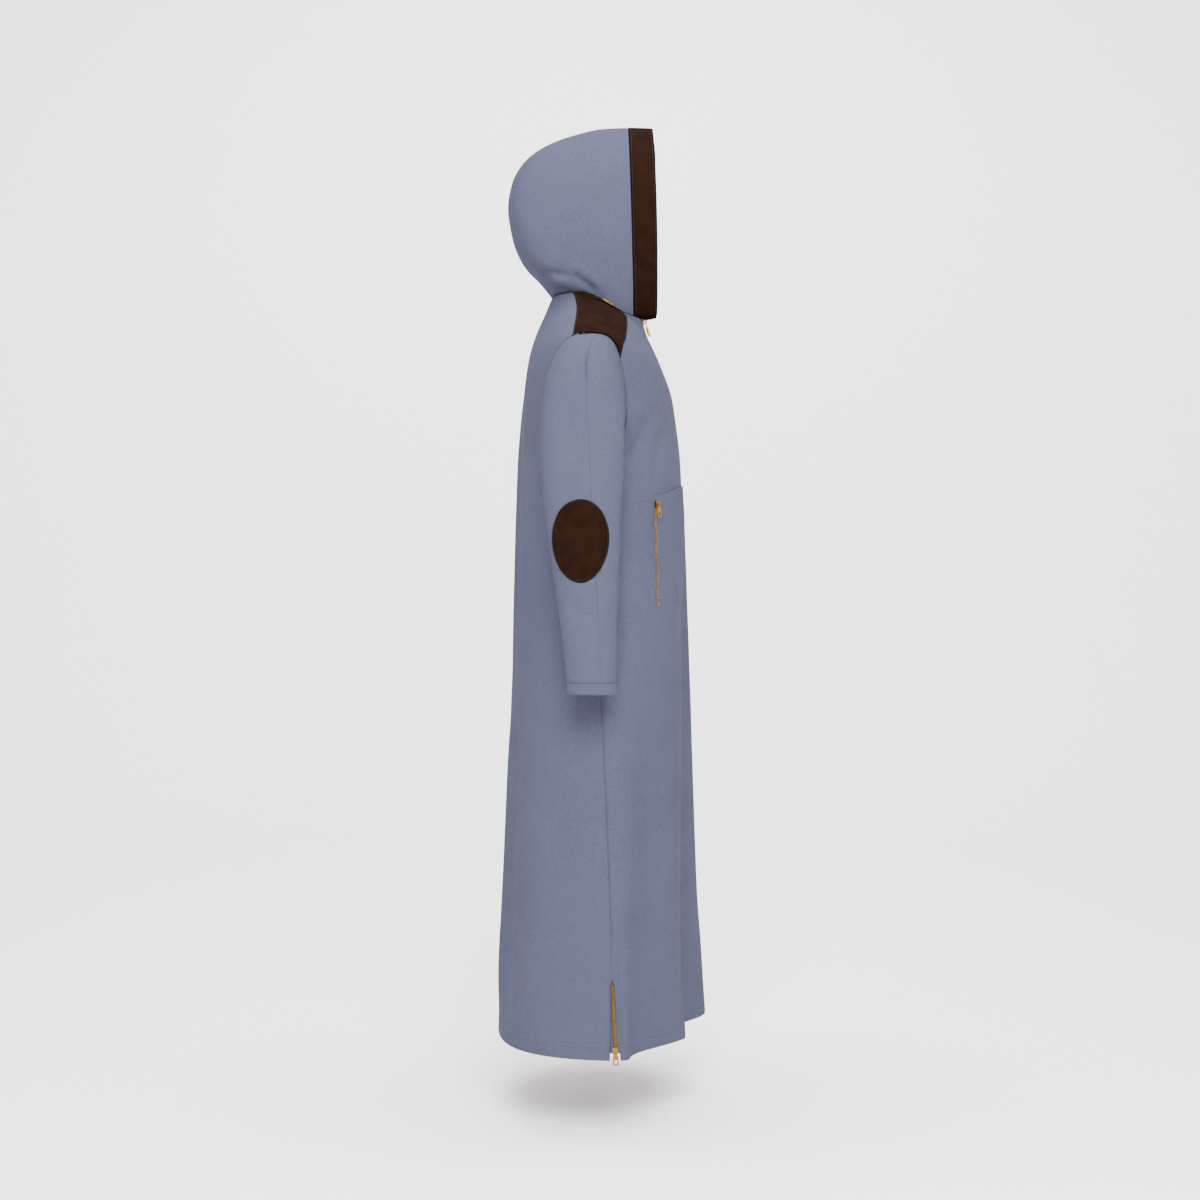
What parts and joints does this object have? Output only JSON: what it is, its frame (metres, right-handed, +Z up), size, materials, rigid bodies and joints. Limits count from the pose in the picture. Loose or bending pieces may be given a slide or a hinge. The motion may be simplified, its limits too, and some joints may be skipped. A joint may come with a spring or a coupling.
{
  "type": "hooded thobe",
  "caption": "Ankle-length hooded robe in slate blue cloth, brown hood band, shoulder and elbow patches, gold zips at the front, pockets and side slits",
  "frame": {"origin": "middle of the neck base at the height of the high point of the shoulders, where the wearer holds the garment", "axes": "+Z up, -Y towards the wearer's front, -X towards the wearer's right"},
  "size_m": [0.7176, 0.3922, 1.6868],
  "materials": {
    "slate_cloth": "matt, fine plain weave, soft",
    "brown_suede": "matt suede-like nap",
    "gold_metal": "polished light gold"
  },
  "bodies": {
    "garment": {"back_panel": "slate_cloth", "front_top_right": "slate_cloth", "front_top_left": "slate_cloth", "front_skirt": "slate_cloth", "hood_right": "slate_cloth", "hood_left": "slate_cloth", "sleeve_back_right": "slate_cloth", "sleeve_front_right": "slate_cloth", "sleeve_back_left": "slate_cloth", "sleeve_front_left": "slate_cloth", "cuff_right": "slate_cloth", "cuff_left": "slate_cloth", "hood_band": "brown_suede", "shoulder_patch_right": "brown_suede", "shoulder_patch_left": "brown_suede", "shoulder_tab_right": "brown_suede", "shoulder_tab_left": "brown_suede", "elbow_patch_right": "brown_suede", "elbow_patch_left": "brown_suede", "shoulder_bar_right": "gold_metal", "shoulder_bar_left": "gold_metal", "front_zip": "gold_metal", "front_slider": "gold_metal", "pocket_zip_right": "gold_metal", "pocket_zip_left": "gold_metal", "pocket_right_slider": "gold_metal", "pocket_left_slider": "gold_metal", "side_zip_right": "gold_metal", "side_zip_left": "gold_metal", "side_right_slider": "gold_metal", "side_left_slider": "gold_metal"},
    "front_pull_tab": {"front_pull": "gold_metal"},
    "pocket_right_pull_tab": {"pocket_right_pull": "gold_metal"},
    "pocket_left_pull_tab": {"pocket_left_pull": "gold_metal"},
    "side_right_pull_tab": {"side_right_pull": "gold_metal"},
    "side_left_pull_tab": {"side_left_pull": "gold_metal"}
  },
  "joints": [
    {"name": "front_pull_swing", "type": "hinge", "parent": "garment", "child": "front_pull_tab", "pos_m": [0, -0.08533, -0.0463], "axis": [-1, 0, 0], "range_deg": [0, 150]},
    {"name": "pocket_right_pull_swing", "type": "hinge", "parent": "garment", "child": "pocket_right_pull_tab", "pos_m": [-0.18296, -0.10511, -0.39965], "axis": [-0.756, 0.6543, 0.0172], "range_deg": [0, 150]},
    {"name": "pocket_left_pull_swing", "type": "hinge", "parent": "garment", "child": "pocket_left_pull_tab", "pos_m": [0.18302, -0.10562, -0.39938], "axis": [-0.7489, -0.6625, 0.0113], "range_deg": [0, 150]},
    {"name": "side_right_pull_swing", "type": "hinge", "parent": "garment", "child": "side_right_pull_tab", "pos_m": [-0.28091, -0.02641, -1.34686], "axis": [-0.001, 0.9989, -0.0467], "range_deg": [0, 150]},
    {"name": "side_left_pull_swing", "type": "hinge", "parent": "garment", "child": "side_left_pull_tab", "pos_m": [0.28091, -0.02641, -1.34686], "axis": [-0.001, -0.9989, 0.0467], "range_deg": [0, 150]}
  ]
}
